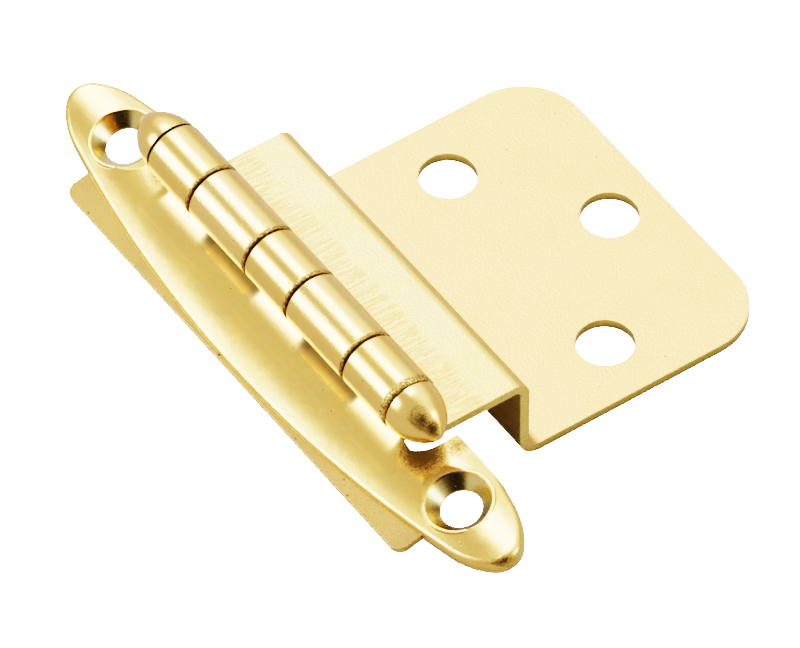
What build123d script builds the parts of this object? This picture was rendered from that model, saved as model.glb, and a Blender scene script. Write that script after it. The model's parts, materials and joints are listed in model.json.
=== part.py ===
from build123d import *
import math
import os

# Face-mounted cabinet hinge for a lipped door with a 3/8 inch rabbet.
# Millimetres. X runs from the pin towards the door plate, Y along the pin, Z up.
# The origin is the middle of the line through the door plate's two paired screw
# holes, on the upper face of that plate, which seats against the door's back.
# The frame wing stands where its spring leaves it, a little past shut.

# Door wing, one folded sheet
sheet = 1.0
wing_length = 38.3
rabbet_depth = 9.525
lip_overlay = 9.525
lip_to_pin = 3.85
pin_above_shelf = 5.455
screw_spacing = 25.4
screw_hole = 5.6
outer_screw_offset = 9.6
wall_to_screws = 13.3
screws_to_edge = 15.1
plate_corner_radius = 6.4
shelf_fold_radius = 0.6
plate_fold_radius = 1.4
window_past_pin = 3.6

# Pin and rolled knuckles
pin_diameter = 3.86
pin_clearance = 0.04
middle_knuckle = 6.4
door_knuckle = 8.85
knuckle_gap = 0.25
ramp_angle = 45.0
door_root_radius = 1.7
leaf_root_radius = 6.5
leaf_root_start = 4.4
root_relief = 0.6
seam_gap = 0.15
knuckle_rounding = 0.2
outer_rounding = 0.4

# Finials
finial_radius = 2.85
finial_ogive_radius = 5.5
finial_tip_radius = 0.45
finial_gap = 0.15
finial_socket = 2.5
socket_clearance = 0.02

# Frame wing, a crowned boat-shaped leaf stamped from sheet
droop_angle = 14.3
crown_below_pin = 4.75
leaf_height = 2.44
leaf_centre_offset = 1.62
boat_past_barrel = 16.2
boat_width = 14.1
side_flatness = 1.1937
shoulder_radius = 8.5
tip_radius = 2.4
crown_radius_middle = 17.0
crown_radius_tip = 8.0
crown_radius_along = 800.0
crown_half_angle = 32.0
crown_overrun = 1.45
crown_sections = 7
knuckle_edge_offset = 2.3
ear_edge_offset = 2.65
ear_past_barrel = 1.95
ear_corner_radius = 2.9
leaf_rounding = 0.7

# Countersunk screw holes of the frame wing
screw_to_tip = 8.2
frame_screw_hole = 3.95
countersink_diameter = 6.3
countersink_angle = 82.0
countersink_below_crown = 0.64
countersink_land = 0.17
dimple_wall = 0.7
lip_radius = 0.33
flare_width = 1.2
flare_rise = 0.35
collar_diameter = 6.9
collar_rounding = 0.1

# Flat spring plate, let into the leaf's rim and flush with it
spring_thickness = 0.66
spring_length = 54.2
spring_edge_offset = 8.92
spring_slot_gap = 0.1
spring_band_width = 3.9
spring_tongue_length = 30.0
spring_tongue_offset = 2.9
spring_corner_radius = 1.2

# Values that follow, with a reach beyond the whole part and the tolerance for picking edges
wall_x = -wall_to_screws
pin_x = wall_x - lip_overlay - lip_to_pin
pin_z = rabbet_depth + pin_above_shelf
bore_radius = pin_diameter / 2 + pin_clearance
roll_radius = bore_radius + sheet
roll_middle = bore_radius + sheet / 2
middle_half = middle_knuckle / 2
door_start = middle_half + knuckle_gap
door_end = door_start + door_knuckle
end_start = door_end + knuckle_gap
barrel_half = wing_length / 2
crown_top = -crown_below_pin
leaf_seat = crown_top - leaf_height
boat_length = wing_length + 2 * boat_past_barrel
half_length = boat_length / 2
half_width = boat_width / 2
least_side = (half_width**2 + half_length**2 - 2 * half_length * tip_radius) / (2 * (half_width - tip_radius))
side_radius = side_flatness * least_side
ear_start = barrel_half + ear_past_barrel
frame_screw_spacing = boat_length - 2 * screw_to_tip
ramp = math.radians(ramp_angle)
reach = 4 * boat_length
match = 0.01

# The pin's own frame: x, y, z as above, with the pin axis as its Y axis
pin_place = Location((pin_x, 0, pin_z))
# The leaf's frame: the same axis, turned so that the leaf lies flat in it
leaf_place = Location((pin_x, 0, pin_z), (0, -droop_angle, 0))


# A section drawn in XZ, drawn out along Y from one end to the other
def along_pin(section, start, end):
    plane = Plane(origin=(0, end, 0), x_dir=(1, 0, 0), z_dir=(0, -1, 0))
    return extrude(plane * section, end - start)


# The centre line of a sheet that runs in from its last point at a slope, turns up a ramp
# and rolls round the pin. It comes from the side -X, and the door wing mirrors it.
def knuckle_line(start_points, slope, radii):
    x, z = start_points[-1]
    turn = (z - slope * x + roll_middle / math.cos(ramp)) / (math.tan(ramp) - slope)
    touch = (roll_middle * math.sin(ramp), -roll_middle * math.cos(ramp))
    closing = math.degrees(math.acos((bore_radius - seam_gap) / roll_radius))
    first_angle = -90 + ramp_angle
    run = FilletPolyline(*start_points, (turn, z + slope * (turn - x)), touch, radius=radii)
    roll = CenterArc((0, 0), roll_middle, first_angle, 360 - closing)
    return run, roll


# The sheet's own thickness laid along a centre line
def sheet_section(edges):
    return Sketch() + [trace(edge, sheet) for line in edges for edge in line.edges()]


# Rounds the end rims of a rolled knuckle, more at the barrel's two outer ends
def rounded_knuckle(solid, start, end):
    for level in (start, end):
        circles = solid.edges().filter_by(GeomType.CIRCLE)
        at_end = circles.filter_by(lambda edge: abs(edge.center().Y - level) < match)
        rims = at_end.filter_by(lambda edge: abs(edge.radius - roll_radius) < match)
        radius = outer_rounding if abs(level) > end_start + match else knuckle_rounding
        solid = fillet(rims, radius)
    return solid


# Door wing: plate, drop, shelf, ramp and two rolled knuckles, one sheet
def door_wing():
    shelf_level = -pin_above_shelf - sheet / 2
    plate_level = -pin_z - sheet / 2
    wall_middle = -(wall_x - sheet / 2 - pin_x)
    plate_end = -(screws_to_edge - pin_x)
    corners = [(plate_end, plate_level), (wall_middle, plate_level), (wall_middle, shelf_level)]
    folds = [radius + sheet / 2 for radius in (plate_fold_radius, shelf_fold_radius, door_root_radius)]
    run, roll = knuckle_line(corners, 0, folds)
    half = wing_length / 2
    body = mirror(along_pin(sheet_section([run]), -half, half), Plane.YZ)
    body -= Pos(window_past_pin - reach / 2, 0, 0) * Box(reach, reach, reach)
    run_in = along_pin(sheet_section([run]), door_start, door_end)
    rolled = rounded_knuckle(along_pin(sheet_section([roll]), door_start, door_end), door_start, door_end)
    knuckle = mirror(run_in + rolled, Plane.YZ)
    knuckle -= Pos(window_past_pin + reach / 2, 0, 0) * Box(reach, reach, reach)
    body += [knuckle, mirror(knuckle, Plane.XZ)]
    wing = pin_place * body
    wing = fillet(wing.edges().filter_by(Axis.Z).group_by(Axis.X)[-1], plate_corner_radius)
    places = [(0, screw_spacing / 2), (0, -screw_spacing / 2), (outer_screw_offset, 0)]
    for x, y in places:
        wing -= Pos(x, y, 0) * Cylinder(screw_hole / 2, 4 * sheet)
    return wing


# Tangent points and shoulder centre of the boat outline's three arcs: side, shoulder and tip
def boat_points():
    side_centre = half_width - side_radius
    tip_centre = half_length - tip_radius
    from_side = side_radius - shoulder_radius
    from_tip = shoulder_radius - tip_radius
    apart = math.hypot(side_centre, tip_centre)
    along = (from_side**2 - from_tip**2 + apart**2) / (2 * apart)
    across = math.sqrt(from_side**2 - along**2)
    unit = (tip_centre / apart, -side_centre / apart)
    centre = (along * unit[0] - across * unit[1], side_centre + along * unit[1] + across * unit[0])
    if centre[0] > tip_centre:
        centre = (along * unit[0] + across * unit[1], side_centre + along * unit[1] - across * unit[0])
    lean = math.atan2(centre[0], centre[1] - side_centre)
    joint = (side_radius * math.sin(lean), side_centre + side_radius * math.cos(lean))
    nose = math.atan2(tip_centre - centre[0], -centre[1])
    touch = (centre[0] + shoulder_radius * math.sin(nose), centre[1] + shoulder_radius * math.cos(nose))
    return joint, touch


# One quarter of the boat, as a face, drawn with X across and Y along
def boat_quarter():
    joint, touch = boat_points()
    side = RadiusArc((half_width, 0), (joint[1], joint[0]), -side_radius)
    shoulder = RadiusArc((joint[1], joint[0]), (touch[1], touch[0]), -shoulder_radius)
    tip = RadiusArc((touch[1], touch[0]), (0, half_length), -tip_radius)
    closing = Polyline((0, half_length), (0, 0), (half_width, 0))
    return make_face([*side.edges(), *shoulder.edges(), *tip.edges(), *closing.edges()])


# The whole boat in plan, in its place on the leaf
def boat_outline():
    quarter = boat_quarter()
    half = quarter + mirror(quarter, Plane.YZ)
    return Pos(-leaf_centre_offset, 0) * (half + mirror(half, Plane.XZ))


# What is cut from the boat on the pin's side, leaving its two ears
def pin_side():
    beyond_ears = Pos(ear_edge_offset + boat_width, 0) * Rectangle(2 * boat_width, reach)
    middle = Pos(boat_width - knuckle_edge_offset, 0) * Rectangle(2 * boat_width, 2 * ear_start)
    left = middle.vertices().group_by(Axis.X)[0]
    return beyond_ears + fillet(left, ear_corner_radius)


# Radius of the crown across the leaf at a place along it, smaller towards the tips
def crown_radius(y):
    return crown_radius_middle - (crown_radius_middle - crown_radius_tip) * (y / half_length) ** 2


# Height of the crowned surface above or below the pin, at a place on the leaf
def crown_height(x, y):
    radius = crown_radius(y)
    across = radius - math.sqrt(radius**2 - (x + leaf_centre_offset) ** 2)
    along = crown_radius_along - math.sqrt(crown_radius_along**2 - y**2)
    return crown_top - across - along


# The body under that surface, lowered by a depth, lofted through arcs across the leaf
def crown_body(depth):
    foot = leaf_seat - leaf_height
    sections = []
    for step in range(crown_sections):
        y = (half_length + crown_overrun) * (2 * step / (crown_sections - 1) - 1)
        half_chord = crown_radius(y) * math.sin(math.radians(crown_half_angle))
        across = [x - leaf_centre_offset for x in (-half_chord, 0, half_chord)]
        places = [(x, crown_height(x, y) - depth) for x in across]
        arc = ThreePointArc(*places)
        closing = Polyline(places[2], (places[2][0], foot), (places[0][0], foot), places[0])
        plane = Plane(origin=(0, y, 0), x_dir=(1, 0, 0), z_dir=(0, -1, 0))
        sections.append(plane * make_face([*arc.edges(), *closing.edges()]))
    return loft(sections)


# A turned body about the Z axis from its half section, with one of its rims rounded
def turned(points, rim, rounding):
    section = Plane.XZ * make_face(Polyline(*points, close=True))
    body = revolve(section, Axis.Z)
    circles = body.edges().filter_by(GeomType.CIRCLE)
    edge = circles.filter_by(lambda circle: abs(circle.radius - rim) < match).sort_by(Axis.Z)[-1]
    return fillet(edge, rounding)


# One pressed-down countersink, at the leaf's middle: the dimple's outside, the collar
# that stands round it, and the funnel with a rounded lip that is cut through both
def countersink():
    rim = countersink_diameter / 2
    hole = frame_screw_hole / 2
    collar = collar_diameter / 2
    slope = math.tan(math.radians(countersink_angle / 2))
    level = crown_top - countersink_below_crown
    land_top = level - (rim - hole) / slope
    foot = land_top - countersink_land
    outside = hole + dimple_wall
    root = level - sheet / 2
    flank = outside + (root - foot) * slope
    below = leaf_seat - sheet
    flare = (rim + flare_width, level + flare_rise)
    dimple = turned([(0, foot), (outside, foot), (flank, root), (0, root)], outside, collar_rounding)
    ring = turned([(0, root), (collar, root), (collar, level), (0, level)], collar, collar_rounding)
    funnel = [(0, below), (hole, below), (hole, land_top), (rim, level), flare, (0, flare[1])]
    return dimple, ring, turned(funnel, rim, lip_radius)


# Frame wing: the crowned leaf with its turned-down rim, three rolled knuckles and two
# countersinks, one sheet, hollow underneath and with a slot in the rim for the spring
def frame_wing():
    leaf = extrude(Pos(0, 0, leaf_seat) * boat_outline(), leaf_height) & crown_body(0)
    top = leaf.faces().filter_by(lambda face: face.normal_at().Z > 0.9).sort_by(SortBy.AREA)[-1]
    leaf = fillet(top.outer_wire().edges(), leaf_rounding)
    hollow = extrude(Pos(0, 0, leaf_seat) * offset(boat_outline(), -sheet), leaf_height) & crown_body(sheet)
    dimple, ring, funnel = countersink()
    for y in (-frame_screw_spacing / 2, frame_screw_spacing / 2):
        place = Pos(-leaf_centre_offset, y, 0)
        hollow -= place * dimple
        leaf = leaf + place * ring - place * funnel
    leaf -= hollow + extrude(Pos(0, 0, leaf_seat) * pin_side(), leaf_height)
    slot_height = spring_thickness + spring_slot_gap
    slot_length = spring_length + 2 * spring_slot_gap
    slot_end = spring_band_width - spring_edge_offset + spring_slot_gap
    slot_place = Pos(slot_end - boat_width / 2, 0, leaf_seat + slot_height / 2)
    leaf -= slot_place * Box(boat_width, slot_length, slot_height)
    ends = [(-barrel_half, -end_start), (-middle_half, middle_half), (end_start, barrel_half)]
    for first, last in ends:
        outer = max(-first, last)
        start = (-leaf_root_start, crown_height(-leaf_root_start, outer) - sheet / 2)
        slope = math.tan(math.asin((leaf_root_start - leaf_centre_offset) / crown_radius(outer)))
        run, roll = knuckle_line([start], slope, leaf_root_radius + sheet / 2)
        rolled = rounded_knuckle(along_pin(sheet_section([roll]), first, last), first, last)
        root_first = first + root_relief * (first == -barrel_half)
        root_last = last - root_relief * (last == barrel_half)
        leaf += along_pin(sheet_section([run]), root_first, root_last) + rolled
    return leaf_place * leaf


# Hinge pin, a plain rod that reaches into both finials
def hinge_pin():
    half = barrel_half + finial_gap + finial_socket
    return pin_place * Rot(90, 0, 0) * Cylinder(pin_diameter / 2, 2 * half)


# Bullet-shaped finial, turned, with a blind socket for the pin's end
def finial(side):
    ogive_centre = finial_radius - finial_ogive_radius
    tip_centre = math.sqrt((finial_ogive_radius - finial_tip_radius) ** 2 - ogive_centre**2)
    lean = math.atan2(tip_centre, -ogive_centre)
    touch = (finial_tip_radius * math.cos(lean), tip_centre + finial_tip_radius * math.sin(lean))
    tip = (0, tip_centre + finial_tip_radius)
    socket = pin_diameter / 2 + socket_clearance
    side_arc = RadiusArc((finial_radius, 0), touch, -finial_ogive_radius)
    tip_arc = RadiusArc(touch, tip, -finial_tip_radius)
    inside = Polyline(tip, (0, finial_socket), (socket, finial_socket), (socket, 0), (finial_radius, 0))
    profile = make_face([*side_arc.edges(), *tip_arc.edges(), *inside.edges()])
    turned = Pos(0, barrel_half + finial_gap, 0) * revolve(profile, Axis.Y)
    if side < 0:
        turned = mirror(turned, Plane.XZ)
    return pin_place * turned


# Flat spring plate: a straight band under the leaf's outer edge with a tongue towards the pin
def spring_plate():
    band_middle = spring_band_width / 2 - spring_edge_offset
    band = Pos(band_middle, 0) * Rectangle(spring_band_width, spring_length)
    band = fillet(band.vertices(), spring_corner_radius)
    tongue_start = -spring_edge_offset + spring_corner_radius
    tongue_width = -spring_tongue_offset - tongue_start
    tongue = Pos(tongue_start + tongue_width / 2, 0) * Rectangle(tongue_width, spring_tongue_length)
    tongue = fillet(tongue.vertices().group_by(Axis.X)[-1], spring_corner_radius)
    plate = extrude(Pos(0, 0, leaf_seat) * (band + tongue), spring_thickness)
    return leaf_place * plate


os.makedirs("parts", exist_ok=True)
pieces = {
    "door_wing": door_wing(),
    "frame_wing": frame_wing(),
    "hinge_pin": hinge_pin(),
    "finial_near": finial(-1),
    "finial_far": finial(1),
    "spring_plate": spring_plate(),
}
for name, piece in pieces.items():
    export_step(piece, f"parts/{name}.step")
    print(name, round(piece.volume, 2))
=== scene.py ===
import bmesh
import bpy
import json
import math
import numpy as np
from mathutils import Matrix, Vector


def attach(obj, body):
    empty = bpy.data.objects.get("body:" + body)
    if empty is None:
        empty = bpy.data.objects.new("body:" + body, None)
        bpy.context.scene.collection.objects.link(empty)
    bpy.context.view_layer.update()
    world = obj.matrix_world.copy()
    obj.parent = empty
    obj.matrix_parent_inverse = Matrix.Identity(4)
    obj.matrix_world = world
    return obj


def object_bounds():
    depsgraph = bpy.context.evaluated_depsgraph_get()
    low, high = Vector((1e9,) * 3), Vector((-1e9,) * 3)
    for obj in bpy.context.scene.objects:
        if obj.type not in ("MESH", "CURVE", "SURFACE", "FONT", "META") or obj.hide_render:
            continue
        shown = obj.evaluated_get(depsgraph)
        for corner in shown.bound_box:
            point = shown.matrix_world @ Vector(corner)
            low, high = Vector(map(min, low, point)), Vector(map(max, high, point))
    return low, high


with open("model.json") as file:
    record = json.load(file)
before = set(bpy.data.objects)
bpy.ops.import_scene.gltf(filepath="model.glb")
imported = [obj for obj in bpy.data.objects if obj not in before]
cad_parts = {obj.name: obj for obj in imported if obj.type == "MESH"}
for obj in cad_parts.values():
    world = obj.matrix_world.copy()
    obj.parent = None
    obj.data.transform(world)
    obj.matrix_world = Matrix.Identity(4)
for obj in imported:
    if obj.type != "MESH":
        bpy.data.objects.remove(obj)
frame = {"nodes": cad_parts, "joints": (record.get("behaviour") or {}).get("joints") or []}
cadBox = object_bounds()
print("frame loaded:", sorted(frame["nodes"]))

# The pin's line, in millimetres, and the angle at which the leaf droops from it, in degrees
pinSeat = frame["joints"][0]["pos_m"]
leafPlace = {"pin": (pinSeat[0] * 1000, pinSeat[2] * 1000), "droop": 14.3}

# Camera: where the photograph was taken from, on a long lens
cameraView = {
    "azimuth": -34.99,
    "elevation": 48.84,
    "distance": 1.21425,
    "aim": (-0.01431, 0.00014, 0.0),
    "lens": 586.8,
    "sensor": 36.0,
    "clip": (0.01, 20.0),
}


def makeCamera(view):
    azimuth, elevation = math.radians(view["azimuth"]), math.radians(view["elevation"])
    level = math.cos(elevation)
    back = Vector((math.sin(azimuth) * level, -math.cos(azimuth) * level, math.sin(elevation)))
    camera = bpy.data.objects.new("camera", bpy.data.cameras.new("camera"))
    camera.data.lens = view["lens"]
    camera.data.sensor_width = view["sensor"]
    camera.data.clip_start, camera.data.clip_end = view["clip"]
    camera.location = Vector(view["aim"]) + back * view["distance"]
    camera.rotation_mode = "QUATERNION"
    camera.rotation_quaternion = (-back).to_track_quat("-Z", "Y")
    bpy.context.scene.collection.objects.link(camera)
    bpy.context.scene.camera = camera


makeCamera(cameraView)
print("camera placed")


# Small helpers for node trees: each adds one node or two and gives back what comes out
def addNode(tree, kind, feeds=None, **settings):
    node = tree.nodes.new(kind)
    for name, value in settings.items():
        setattr(node, name, value)
    for socket, value in (feeds or {}).items():
        if isinstance(value, bpy.types.NodeSocket):
            tree.links.new(value, node.inputs[socket])
        else:
            node.inputs[socket].default_value = value
    return node


def calc(tree, operation, first, second=0.0, third=0.0, clamp=False):
    feeds = {0: first, 1: second, 2: third}
    return addNode(tree, "ShaderNodeMath", feeds, operation=operation, use_clamp=clamp).outputs[0]


def vectorCalc(tree, operation, first, second=(0, 0, 0)):
    node = addNode(tree, "ShaderNodeVectorMath", {0: first, 1: second}, operation=operation)
    return node.outputs["Value" if operation in ("DOT_PRODUCT", "LENGTH", "DISTANCE") else "Vector"]


def scaled(tree, vector, factor):
    node = addNode(tree, "ShaderNodeVectorMath", {0: vector, 3: factor}, operation="SCALE")
    return node.outputs["Vector"]


def axisOf(tree, vector, axis):
    return addNode(tree, "ShaderNodeSeparateXYZ", {"Vector": vector}).outputs[axis]


def ease(tree, value, start, end, low=0.0, high=1.0):
    # a smooth step from low to high as the value goes from start to end
    node = addNode(tree, "ShaderNodeMapRange",
                   {"Value": value, "From Min": start, "From Max": end, "To Min": low, "To Max": high},
                   interpolation_type="SMOOTHSTEP")
    return node.outputs["Result"]


def noise(tree, place, scale, detail, roughness):
    node = addNode(tree, "ShaderNodeTexNoise",
                   {"Vector": place, "Scale": scale, "Detail": detail, "Roughness": roughness})
    return node.outputs["Fac"]


def mixColor(tree, share, first, second):
    return addNode(tree, "ShaderNodeMix", {0: share, 6: first, 7: second}, data_type="RGBA").outputs[2]


def distanceFromPin(tree, place):
    # how far a place is from the pin's line, whatever its Y
    feeds = {"X": axisOf(tree, place, "X"), "Z": axisOf(tree, place, "Z")}
    flat = addNode(tree, "ShaderNodeCombineXYZ", feeds).outputs["Vector"]
    pinX, pinZ = leafPlace["pin"]
    return vectorCalc(tree, "DISTANCE", flat, (pinX, 0.0, pinZ))


# Studio: a grey room with two softboxes, a soft glow on the right, a small box low beside the camera
# and a dark corner on its other side.
# turn is the angle round the hinge's pin from +X up towards +Z, lean is how far it leans towards +Y;
# half sizes are in degrees, soft is the width of the faded border, level is the brightness
white = (1.0, 1.0, 1.0)
studio = {
    "room": 0.8,
    "camera white": 30.0,
    "floor grey": 0.38,
    "floor below": 0.0001,
    "floor half": 4.0,
    "least reach": 0.02,
    "boxes": {
        "topBox": {"turn": 82.0, "lean": 32.7, "halfTurn": 9.5, "halfLean": 16.0, "soft": 5.5,
                   "level": 11.0, "tint": white},
        "sideBox": {"turn": 151.0, "lean": 32.7, "halfTurn": 12.0, "halfLean": 12.0, "soft": 6.5,
                    "level": 14.0, "tint": white},
        "rightGlow": {"turn": 62.0, "lean": 22.0, "halfTurn": 20.0, "halfLean": 40.0, "soft": 19.0,
                      "level": 1.75, "tint": (1.0, 0.99, 0.96)},
        "kickBox": {"turn": 46.0, "lean": -36.0, "halfTurn": 13.0, "halfLean": 11.0, "soft": 5.0,
                    "level": 8.0, "tint": white},
        "darkCorner": {"turn": 126.0, "lean": -44.0, "halfTurn": 42.0, "halfLean": 27.0, "soft": 8.0,
                       "level": -0.77, "tint": white},
    },
}


def softbox(tree, direction, box, leastReach):
    # a faded rectangle of light: the direction is divided by its reach towards the box, which gives
    # its place on a flat screen, and both places are eased to nothing past the half sizes
    turn, lean = math.radians(box["turn"]), math.radians(box["lean"])
    facing = Vector((math.cos(turn) * math.cos(lean), math.sin(lean), math.sin(turn) * math.cos(lean)))
    across = Vector((-math.sin(turn), 0.0, math.cos(turn)))
    along = facing.cross(across)
    reach = calc(tree, "MAXIMUM", vectorCalc(tree, "DOT_PRODUCT", direction, facing), leastReach)
    light = box["level"]
    for axis, half in ((across, box["halfTurn"]), (along, box["halfLean"])):
        place = calc(tree, "DIVIDE", vectorCalc(tree, "DOT_PRODUCT", direction, axis), reach)
        inner = math.tan(math.radians(max(half - box["soft"], 0.0)))
        outer = math.tan(math.radians(half + box["soft"]))
        fade = ease(tree, calc(tree, "ABSOLUTE", place), inner, outer, 1.0, 0.0)
        light = calc(tree, "MULTIPLY", light, fade)
    return scaled(tree, box["tint"], light)


def cameraOrNot(tree, forOthers, forCamera):
    # one shader for what the metal reflects and another for what the camera sees directly
    isCamera = addNode(tree, "ShaderNodeLightPath").outputs["Is Camera Ray"]
    return addNode(tree, "ShaderNodeMixShader", {0: isCamera, 1: forOthers, 2: forCamera}).outputs[0]


def makeWorld(settings):
    world = bpy.data.worlds.new("studio")
    bpy.context.scene.world = world
    world.use_nodes = True
    tree = world.node_tree
    tree.nodes.clear()
    direction = addNode(tree, "ShaderNodeTexCoord").outputs["Generated"]
    total = (settings["room"],) * 3
    for box in settings["boxes"].values():
        total = vectorCalc(tree, "ADD", total, softbox(tree, direction, box, settings["least reach"]))
    lit = addNode(tree, "ShaderNodeBackground", {"Color": total})
    blank = addNode(tree, "ShaderNodeBackground",
                    {"Color": (*white, 1), "Strength": settings["camera white"]})
    surface = cameraOrNot(tree, lit.outputs[0], blank.outputs[0])
    addNode(tree, "ShaderNodeOutputWorld", {"Surface": surface})


def makeFloor(settings):
    # a white floor: burnt out for the camera, plain matt in the metal's reflections
    low, half = cadBox[0][2] - settings["floor below"], settings["floor half"]
    corners = [(-half, -half, low), (half, -half, low), (half, half, low), (-half, half, low)]
    mesh = bpy.data.meshes.new("floor")
    mesh.from_pydata(corners, [], [(0, 1, 2, 3)])
    floor = bpy.data.objects.new("floor", mesh)
    bpy.context.scene.collection.objects.link(floor)
    paper = bpy.data.materials.new("floorPaper")
    paper.use_nodes = True
    tree = paper.node_tree
    tree.nodes.clear()
    grey = settings["floor grey"]
    matt = addNode(tree, "ShaderNodeBsdfDiffuse", {"Color": (grey, grey, grey, 1)})
    blank = addNode(tree, "ShaderNodeEmission", {"Strength": settings["camera white"]})
    surface = cameraOrNot(tree, matt.outputs[0], blank.outputs[0])
    addNode(tree, "ShaderNodeOutputMaterial", {"Surface": surface})
    mesh.materials.append(paper)


makeWorld(studio)
makeFloor(studio)
bpy.context.scene.view_settings.view_transform = "Filmic"
bpy.context.scene.view_settings.look = "Very High Contrast"
print("studio lit")


# Shared shader groups, in millimetres of the part's own frame. In their settings a noise is its detail
# and roughness, and a window or a fade is where a smooth step starts and ends
def newGroup(name, inputs, outputs):
    # inputs are given as name: start value, and a value of three numbers makes a vector socket
    group = bpy.data.node_groups.new(name, "ShaderNodeTree")
    group.interface.new_socket(name="Place", in_out="INPUT", socket_type="NodeSocketVector")
    for label, value in inputs.items():
        kind = "NodeSocketVector" if isinstance(value, tuple) else "NodeSocketFloat"
        group.interface.new_socket(name=label, in_out="INPUT", socket_type=kind).default_value = value
    for label in outputs:
        group.interface.new_socket(name=label, in_out="OUTPUT", socket_type="NodeSocketFloat")
    return group, group.nodes.new("NodeGroupInput").outputs, group.nodes.new("NodeGroupOutput").inputs


platingPattern = {
    "start": {"Peel Scale": 2.2, "Cloud Scale": 0.16, "Speck Scale": 1.4, "Speck Share": 0.1},
    "peel noise": (3.0, 0.6),
    "cloud noise": (4.0, 0.55), "cloud window": (0.35, 0.65),
    "speck size": (0.9, 0.1), "speck fade": (0.5, 1.0),
}


def makePlatingGroup(pattern):
    # polished plating: a fine orange peel, slow clouds of tone and scattered dark specks
    group, given, result = newGroup("plating", pattern["start"], ("Peel", "Cloud", "Specks"))
    peel = noise(group, given["Place"], given["Peel Scale"], *pattern["peel noise"])
    group.links.new(peel, result["Peel"])
    cloud = noise(group, given["Place"], given["Cloud Scale"], *pattern["cloud noise"])
    group.links.new(ease(group, cloud, *pattern["cloud window"]), result["Cloud"])
    cells = addNode(group, "ShaderNodeTexVoronoi",
                    {"Vector": given["Place"], "Scale": given["Speck Scale"], "Randomness": 1.0})
    chosen = addNode(group, "ShaderNodeSeparateColor", {"Color": cells.outputs["Color"]}).outputs["Red"]
    present = calc(group, "LESS_THAN", chosen, given["Speck Share"])
    size = calc(group, "MULTIPLY_ADD", chosen, *pattern["speck size"])
    away = calc(group, "DIVIDE", cells.outputs["Distance"], size)
    dot = ease(group, away, *pattern["speck fade"], 1.0, 0.0)
    group.links.new(calc(group, "MULTIPLY", present, dot), result["Specks"])
    return group


patchPattern = {
    "start": {"Centre": (0, 0, 0), "Radius": 2.0, "Grain Scale": 4.0, "Cover": 0.5, "Stretch": (1, 1, 1)},
    "noise": (5.0, 0.65), "window": (0.5, 0.95), "fade": (0.0, 0.4),
}


def makePatchGroup(pattern):
    # a rougher spot, or a spot of painted shadow: nearness to a centre, in a distance stretched along the
    # axes, broken up by a coarse and a fine grain
    group, given, result = newGroup("roughOrShadowPatch", pattern["start"], ("Mask",))
    offset = vectorCalc(group, "SUBTRACT", given["Place"], given["Centre"])
    away = vectorCalc(group, "LENGTH", vectorCalc(group, "DIVIDE", offset, given["Stretch"]))
    near = calc(group, "SUBTRACT", 1.0, calc(group, "DIVIDE", away, given["Radius"]), clamp=True)
    grain = noise(group, given["Place"], given["Grain Scale"], *pattern["noise"])
    lifted = calc(group, "ADD", calc(group, "MULTIPLY", near, given["Cover"]), grain)
    spots = ease(group, lifted, *pattern["window"])
    group.links.new(calc(group, "MULTIPLY", spots, ease(group, near, *pattern["fade"])), result["Mask"])
    return group


linesPattern = {
    "start": {"Stretch": (0.2, 2.6, 0.1), "From X": -24.0, "To X": -16.0},
    "noise": (3.0, 0.6), "window": (0.42, 0.62), "end fade": (0.0, 1.2), "start fade": (0.0, 0.3),
}


def makeLinesGroup(pattern):
    # forming lines: grain that is fine along one axis and long across it, kept between two distances
    group, given, result = newGroup("formingLines", pattern["start"], ("Lines",))
    drawn = vectorCalc(group, "MULTIPLY", given["Place"], given["Stretch"])
    grain = ease(group, noise(group, drawn, 1.0, *pattern["noise"]), *pattern["window"])
    x = axisOf(group, given["Place"], "X")
    toEnd = calc(group, "SUBTRACT", given["To X"], x)
    fromStart = calc(group, "SUBTRACT", x, given["From X"])
    band = calc(group, "MULTIPLY", ease(group, toEnd, *pattern["end fade"]),
                ease(group, fromStart, *pattern["start fade"]))
    group.links.new(calc(group, "MULTIPLY", grain, band), result["Lines"])
    return group


bandPattern = {
    "start": {"Along": 0.0, "Half Width": 0.2, "Grain Scale": 5.0},
    "noise": (4.0, 0.6), "window": (0.36, 0.56), "fade": (0.7, 1.3), "barrel edge": (3.05, 3.25),
}


def makeBandGroup(pattern):
    # a mottled band round the barrel: nearness to one place along the pin, on the barrel only
    group, given, result = newGroup("endBand", pattern["start"], ("Mask",))
    along = axisOf(group, given["Place"], "Y")
    away = calc(group, "ABSOLUTE", calc(group, "SUBTRACT", along, given["Along"]))
    band = ease(group, calc(group, "DIVIDE", away, given["Half Width"]), *pattern["fade"], 1.0, 0.0)
    onBarrel = ease(group, distanceFromPin(group, given["Place"]), *pattern["barrel edge"], 1.0, 0.0)
    grain = noise(group, given["Place"], given["Grain Scale"], *pattern["noise"])
    grain = ease(group, grain, *pattern["window"])
    group.links.new(calc(group, "MULTIPLY", calc(group, "MULTIPLY", band, onBarrel), grain), result["Mask"])
    return group


groups = {
    "plating": makePlatingGroup(platingPattern),
    "patch": makePatchGroup(patchPattern),
    "lines": makeLinesGroup(linesPattern),
    "band": makeBandGroup(bandPattern),
}


def useGroup(tree, key, place, values):
    return addNode(tree, "ShaderNodeGroup", {"Place": place, **values}, node_tree=groups[key]).outputs


# What all the brass shares. Windows and fades are where a smooth step starts and ends
brassFinish = {
    "band share": 0.85,
    "grain window": (0.42, 0.62),
    "cut noise": (4.0, 0.6), "cut window": (0.4, 0.62), "cut facing": (0.9, 0.98),
    "well fade": 0.3,
    "slot fade": 0.8,
    "crease window": (0.25, 0.8), "crease samples": 6,
    "edge samples": 4,
    "bump unit": 0.001,
}


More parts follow.
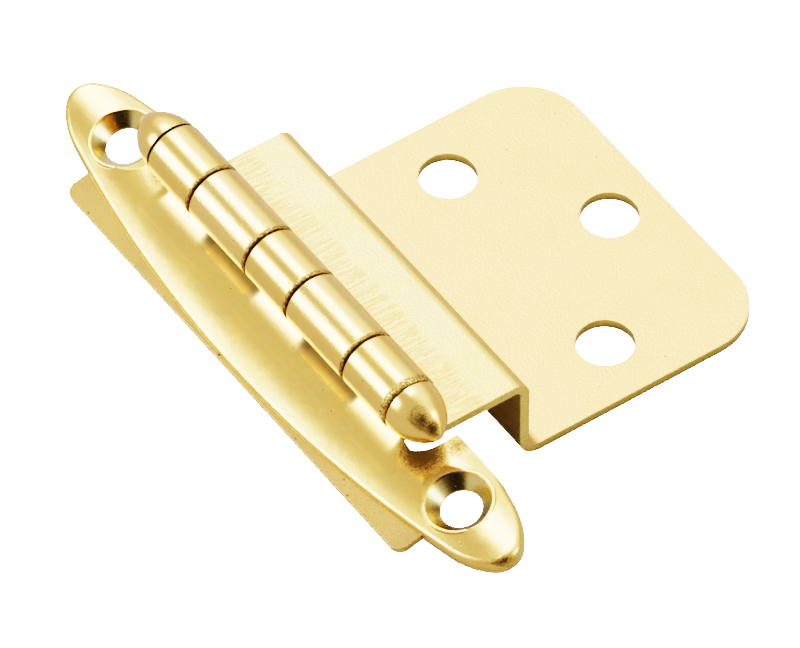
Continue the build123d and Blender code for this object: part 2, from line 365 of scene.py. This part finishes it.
def roughAndShadowMarks(tree, look, place, normal, specks):
    # how far the metal is roughened, stained or darkened by painted shadow, from 0 to 1: the strongest of
    # its specks, patches, bands and sheared faces, which look across the pin and are mottled
    marks = []
    for centre, radius, scale, cover, stretch in look.get("patches", ()):
        patch = useGroup(tree, "patch", place, {"Centre": centre, "Radius": radius, "Grain Scale": scale,
                                                "Cover": cover, "Stretch": stretch})
        marks.append((patch["Mask"], look["patch share"]))
    for along, halfWidth in look["bands"]:
        band = useGroup(tree, "band", place, {"Along": along, "Half Width": halfWidth})
        marks.append((band["Mask"], brassFinish["band share"]))
    sideways = calc(tree, "ABSOLUTE", axisOf(tree, normal, "Y"))
    mottle = noise(tree, place, look["cut ends"]["scale"], *brassFinish["cut noise"])
    mottle = ease(tree, mottle, *brassFinish["cut window"])
    cut = calc(tree, "MULTIPLY", ease(tree, sideways, *brassFinish["cut facing"]), mottle)
    marks.append((cut, look["cut ends"]["share"]))
    roughOrShaded = specks
    for mask, share in marks:
        roughOrShaded = calc(tree, "MAXIMUM", roughOrShaded, calc(tree, "MULTIPLY", mask, share))
    return roughOrShaded


def plateTones(tree, tones, place, normal, color):
    # the screw plate's upper face is a little redder than the shelf above it, and the sheet's
    # sides and its drop are greener
    level = axisOf(tree, place, "Z")
    color = mixColor(tree, ease(tree, level, *tones["plate to shelf"]), tones["plate"], color)
    onSheet = calc(tree, "LESS_THAN", level, tones["sheet top"])
    upright = ease(tree, axisOf(tree, normal, "Z"), *tones["upright"], 1.0, 0.0)
    return mixColor(tree, calc(tree, "MULTIPLY", onSheet, upright), color, tones["sides"])


def paintedWellReflection(tree, wellReflection, place, color):
    # painted reflection: a paler, greener colour on the countersinks' walls, for the light they throw onto
    # each other
    distances = [vectorCalc(tree, "DISTANCE", place, centre) for centre in wellReflection["centres"]]
    nearest = calc(tree, "MINIMUM", *distances)
    inside = ease(tree, nearest, wellReflection["reach"] - brassFinish["well fade"], wellReflection["reach"], 1.0, 0.0)
    return mixColor(tree, inside, color, wellReflection["tone"])


def slotShade(tree, slots, place):
    # nearness to the leaf's edge, within the windows where the door's knuckles pass and shade it
    along = calc(tree, "ABSOLUTE", axisOf(tree, place, "Y"))
    first, last = slots["along"]
    window = calc(tree, "MULTIPLY", ease(tree, along, first, first + brassFinish["slot fade"]),
                  ease(tree, along, last - brassFinish["slot fade"], last, 1.0, 0.0))
    near = ease(tree, distanceFromPin(tree, place), *slots["from pin"], 1.0, 0.0)
    return calc(tree, "MULTIPLY", window, near)


def brassMaterial(name, look):
    # plated brass: a bright and a deep tone in slow clouds, darker where it is roughened or cut and where
    # shade is painted, with orange peel and the patches' grain as bump, and edges rounded by a fine bevel
    material = bpy.data.materials.new(name)
    material.use_nodes = True
    tree = material.node_tree
    coordinates = addNode(tree, "ShaderNodeTexCoord").outputs
    place, normal = scaled(tree, coordinates["Object"], 1000.0), coordinates["Normal"]
    plating = useGroup(tree, "plating", place, look["plating"])
    roughOrShaded = roughAndShadowMarks(tree, look, place, normal, plating["Specks"])

    color = mixColor(tree, plating["Cloud"], look["bright"], look["deep"])
    grain = ease(tree, plating["Peel"], *brassFinish["grain window"])
    color = mixColor(tree, calc(tree, "MULTIPLY", grain, look["grain share"]), color, look["grain"])
    smooth, dull = look["roughness"]
    roughness = calc(tree, "MULTIPLY_ADD", plating["Cloud"], dull - smooth, smooth)
    roughness = calc(tree, "MULTIPLY_ADD", roughOrShaded, look["rough patch"], roughness, clamp=True)
    if "plate tones" in look:
        color = plateTones(tree, look["plate tones"], place, normal, color)
    if "wellReflection" in look:
        color = paintedWellReflection(tree, look["wellReflection"], place, color)
    if "slots" in look:
        # browner and duller there
        shade = slotShade(tree, look["slots"], place)
        color = mixColor(tree, shade, color, look["slots"]["tone"])
        roughness = calc(tree, "MULTIPLY_ADD", shade, look["slots"]["dull"], roughness, clamp=True)
    # painted shade: a browner colour in hollows and creases, from ambient occlusion, where little light
    # comes in
    shelter = addNode(tree, "ShaderNodeAmbientOcclusion", {"Distance": look["crease reach"]},
                      samples=brassFinish["crease samples"])
    creaseShade = ease(tree, shelter.outputs["AO"], *brassFinish["crease window"], 1.0, 0.0)
    color = mixColor(tree, creaseShade, color, look["creaseShade"])
    # darker on the specks, bands, sheared faces and patches, some of which are painted shadow
    color = mixColor(tree, roughOrShaded, color, look["dark"])

    peel = calc(tree, "MULTIPLY", plating["Peel"], look["peel depth"])
    bump = calc(tree, "MULTIPLY_ADD", roughOrShaded, look["patch depth"], peel)
    if "lines" in look:
        lines = useGroup(tree, "lines", place, look["lines"]["range"])["Lines"]
        drawn = calc(tree, "MULTIPLY", lines, look["lines"]["share"])
        color = mixColor(tree, drawn, color, look["lines"]["tone"])
        bump = calc(tree, "MULTIPLY_ADD", lines, look["lines"]["depth"], bump)
    if "tilt" in look:
        # a sheet that isn't quite flat: a slow slope across it, in mm per mm towards -X
        bump = calc(tree, "MULTIPLY_ADD", axisOf(tree, place, "X"), look["tilt"], bump)
    bevel = addNode(tree, "ShaderNodeBevel", {"Radius": look["edge"]}, samples=brassFinish["edge samples"])
    raised = addNode(tree, "ShaderNodeBump", {"Height": bump, "Distance": brassFinish["bump unit"],
                                              "Strength": 1.0, "Normal": bevel.outputs["Normal"]})

    shader = tree.nodes["Principled BSDF"]
    shader.inputs["Metallic"].default_value = 1.0
    tree.links.new(color, shader.inputs["Base Color"])
    tree.links.new(roughness, shader.inputs["Roughness"])
    tree.links.new(raised.outputs["Normal"], shader.inputs["Normal"])
    return material


def dress(nodeName, material):
    node = frame["nodes"][nodeName]
    node.data.materials.clear()
    node.data.materials.append(material)


# Door wing: plate, shelf and rolled knuckles.
# Colours are linear, lengths are millimetres apart from the edge and crease reach, which are metres.
# A band is its place along the pin and its half width
doorLook = {
    "bright": (0.87, 0.525, 0.185, 1),
    "deep": (0.81, 0.465, 0.145, 1),
    "dark": (0.12, 0.072, 0.014, 1),
    "plate tones": {"plate": (0.81, 0.393, 0.128, 1), "plate to shelf": (2.0, 8.0),
                    "sides": (0.8, 0.56, 0.17, 1), "sheet top": 9.6, "upright": (0.5, 0.9)},
    "grain": (0.7, 0.37, 0.1, 1), "grain share": 0.35,
    "plating": {"Speck Share": 0.03, "Peel Scale": 4.0},
    "roughness": (0.18, 0.22), "rough patch": 0.35,
    "patch depth": -0.02, "peel depth": 0.02,
    "edge": 0.00016,
    "cut ends": {"scale": 6.0, "share": 0.28},
    # the colour for hollows and creases is painted shade, laid in by ambient occlusion
    "creaseShade": (0.58, 0.41, 0.14, 1), "crease reach": 0.002,
    "bands": ((3.6, 0.2), (-12.15, 0.2)),
    "lines": {"range": {"From X": -24.5, "To X": -17.8}, "share": 0.85, "depth": 0.03,
              "tone": (0.62, 0.35, 0.1, 1)},
}
dress("door_wing", brassMaterial("doorBrass", doorLook))
print("door wing finished")

# Frame wing: the boat-shaped leaf with its ears and collared countersinks.
# A patch is its centre, radius, grain scale, cover and stretch
evenly = (1, 1, 1)
leafLook = {
    "bright": (0.82, 0.48, 0.155, 1),
    "deep": (0.77, 0.435, 0.125, 1),
    "dark": (0.1, 0.065, 0.013, 1),
    "grain": (0.68, 0.37, 0.1, 1), "grain share": 0.3,
    "plating": {"Speck Share": 0.08, "Peel Scale": 4.0},
    "roughness": (0.19, 0.24), "rough patch": 0.35,
    "patch depth": -0.02, "peel depth": 0.006, "patch share": 0.92,
    "edge": 0.00014,
    "cut ends": {"scale": 5.0, "share": 0.5},
    # the colour for hollows and creases is painted shade, laid in by ambient occlusion
    "creaseShade": (0.36, 0.265, 0.085, 1), "crease reach": 0.0025,
    "bands": ((12.7, 0.2), (-3.05, 0.2), (-18.8, 0.42)),
    # the first two patches are painted shadow under the near and the far finial, darker and rougher; the
    # other two are darker, rougher spots
    "patches": (((-26.4, -20.9, 9.9), 3.0, 6.0, 0.75, evenly),
                ((-26.4, 20.9, 9.9), 2.4, 6.0, 0.4, evenly),
                ((-27.3, -34.95, 8.85), 1.0, 6.0, 0.5, (1.6, 0.8, 0.8)),
                ((-23.5, -22.2, 10.1), 1.8, 6.0, 0.35, evenly)),
    # the countersinks' paler tone is a painted reflection of their walls in each other
    "wellReflection": {"centres": ((-26.89, -27.15, 9.25), (-26.89, 27.15, 9.25)), "reach": 3.1,
              "tone": (0.68, 0.5, 0.2, 1)},
}
dress("frame_wing", brassMaterial("leafBrass", leafLook))

# Leaf roots: the leaf's edge beside the barrel, swelling up to its own three knuckles and turned down
# where the door's two knuckles pass. u runs across the leaf from the pin's line, y along the pin and
# v square to both, in mm. The crown is the leaf's own, from the solids
rootShape = {
    "from": -5.6, "to": -1.74, "end": 20.6,
    "rows": 420, "columns": 48,
    "crown": {"centre": -1.62, "top": -4.75, "radius middle": 17.0, "radius tip": 8.0,
              "half length": 35.35, "radius along": 800.0},
    "knuckles": ((-18.4, -12.55), (-3.2, 3.2), (12.55, 18.4)), "fade": 1.7,
    "swell start": -4.25, "swell radius": 6.5,
    "run start": -4.4, "run centre below": 16.77,
    "turn start": -1.95, "turn depth": 0.03,
    "border": 1.1, "proud": 0.01,
    "thickness": 0.35, "sharp angle": 40.0,
}

# The same plating as the leaf's, browner and duller where the barrel shades it
rootLook = dict(leafLook, slots={"along": (3.2, 12.6), "from pin": (5.2, 6.05),
                                 "tone": (0.23, 0.185, 0.085, 1), "dull": 0.42})


def crownHeight(crown, u, y):
    # the leaf's crown: an arc across it whose radius shrinks with the square of the place along it,
    # less a flat arc along it
    shrink = crown["radius middle"] - crown["radius tip"]
    radius = crown["radius middle"] - shrink * (y / crown["half length"]) ** 2
    across = radius - np.sqrt(radius**2 - (u - crown["centre"]) ** 2)
    return crown["top"] - across - y**2 / (2 * crown["radius along"])


def smoothStep(value, start, end):
    share = np.clip((value - start) / (end - start), 0, 1)
    return share * share * (3 - 2 * share)


def rootSurface(shape):
    # height = crown + nearness to a knuckle x (straight run + arc's rise) - away from it x turned-down edge
    first, last, end, fade = shape["from"], shape["to"], shape["end"], shape["fade"]
    y = np.linspace(-end, end, shape["rows"])[:, None]
    u = np.linspace(first, last, shape["columns"])[None, :]
    near = np.max([smoothStep(y, low - fade, low) * smoothStep(-y, -high - fade, -high)
                   for low, high in shape["knuckles"]], axis=0)
    crown = crownHeight(shape["crown"], u, y)
    start = shape["run start"]
    slope = (shape["crown"]["centre"] - start) / shape["run centre below"]
    run = crownHeight(shape["crown"], np.full_like(u, start), y) + slope * (u - start)
    rise = np.clip(u - shape["swell start"], 0, None)
    arc = shape["swell radius"] - np.sqrt(shape["swell radius"]**2 - rise**2)
    swell = np.where(u > start, run - crown, 0) + arc
    turn = smoothStep(u, shape["turn start"], 2 * last - shape["turn start"]) * 2 * shape["turn depth"]
    border = smoothStep(u, first, first + shape["border"])
    border = border * smoothStep(-np.abs(y), -end, shape["border"] - end)
    height = crown + near * swell - (1 - near) * turn + shape["proud"] * (2 * border - 1)
    return np.stack(np.broadcast_arrays(u, y, height), axis=-1)


def leafToWorld(points):
    # turns points of the leaf's frame by its droop about the pin, in metres
    droop, (pinX, pinZ) = math.radians(leafPlace["droop"]), leafPlace["pin"]
    u, y, v = points.T
    x = pinX + u * math.cos(droop) - v * math.sin(droop)
    z = pinZ + u * math.sin(droop) + v * math.cos(droop)
    return np.stack([x, y, z], axis=1) / 1000


def makeSheet(name, top, thickness, sharpAngle):
    # a closed sheet from a grid of points: the lower side is the upper one moved along its normals by
    # the thickness, and a wall of quads joins their borders
    normals = np.cross(np.gradient(top, axis=0), np.gradient(top, axis=1))
    normals /= np.linalg.norm(normals, axis=2, keepdims=True)
    normals *= np.sign(normals[..., 2:].mean())
    rows, columns = top.shape[:2]
    count = rows * columns
    points = np.concatenate([top.reshape(-1, 3), (top - normals * thickness).reshape(-1, 3)])
    index = np.arange(count).reshape(rows, columns)
    upper = np.stack([index[:-1, :-1], index[1:, :-1], index[1:, 1:], index[:-1, 1:]], axis=-1)
    lower = np.stack([index[:-1, :-1], index[:-1, 1:], index[1:, 1:], index[1:, :-1]], axis=-1) + count
    border = np.concatenate([index[:, 0], index[-1, 1:], index[-2::-1, -1], index[0, -2:0:-1]])
    after = np.roll(border, -1)
    wall = np.stack([border, border + count, after + count, after], axis=-1)
    faces = np.concatenate([quads.reshape(-1, 4) for quads in (upper, lower, wall)])
    mesh = bpy.data.meshes.new(name)
    mesh.from_pydata(leafToWorld(points).tolist(), [], faces.tolist())
    mesh.polygons.foreach_set("use_smooth", np.ones(len(faces), dtype=bool))
    mesh.update()
    shell = bmesh.new()
    shell.from_mesh(mesh)
    bmesh.ops.recalc_face_normals(shell, faces=shell.faces)
    shell.to_mesh(mesh)
    shell.free()
    mesh.set_sharp_from_angle(angle=math.radians(sharpAngle))
    piece = bpy.data.objects.new(name, mesh)
    bpy.context.scene.collection.objects.link(piece)
    return piece


roots = makeSheet("leaf_roots", rootSurface(rootShape), rootShape["thickness"], rootShape["sharp angle"])
roots.data.materials.append(brassMaterial("rootBrass", rootLook))
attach(roots, "frame")
print("leaf and its roots finished")

# Pin: like the leaf, with finer edges
pinLook = dict(leafLook, bright=(0.8, 0.465, 0.15, 1), edge=0.0001)
dress("hinge_pin", brassMaterial("pinBrass", pinLook))

# Two bullet finials, the near one stained down its front
finialLook = dict(leafLook, dark=(0.05, 0.035, 0.01, 1), edge=0.0001, bands=(),
                  patches=(((-27.6, -22.4, 16.6), 1.2, 8.0, 0.42, (1, 1.6, 1.2)),
                           ((-27.1, -23.2, 15.95), 1.0, 8.0, 0.55, (1, 1.3, 1.2))))
for nodeName in ("finial_near", "finial_far"):
    dress(nodeName, brassMaterial(nodeName + "Brass", finialLook))
print("pin and finials finished")

# Spring plate under the leaf: duller plating, with long mottled patches down the strip that shows
# at the near end
# its tones, darker than the leaf's, are painted shade for the dimmer light the strip reflects
springLook = dict(leafLook, bright=(0.66, 0.39, 0.14, 1), deep=(0.56, 0.32, 0.105, 1),
                  plating={"Speck Share": 0.2, "Peel Scale": 4.0}, roughness=(0.22, 0.3), tilt=0.15,
                  patches=(((-33.0, -23.4, 6.65), 2.2, 8.0, 0.2, (1, 2.0, 1)),
                           ((-33.2, -19.4, 6.6), 1.8, 8.0, 0.2, (1, 3.0, 1))))
springLook["patch depth"] = -0.004
dress("spring_plate", brassMaterial("springBrass", springLook))
print("spring plate finished")
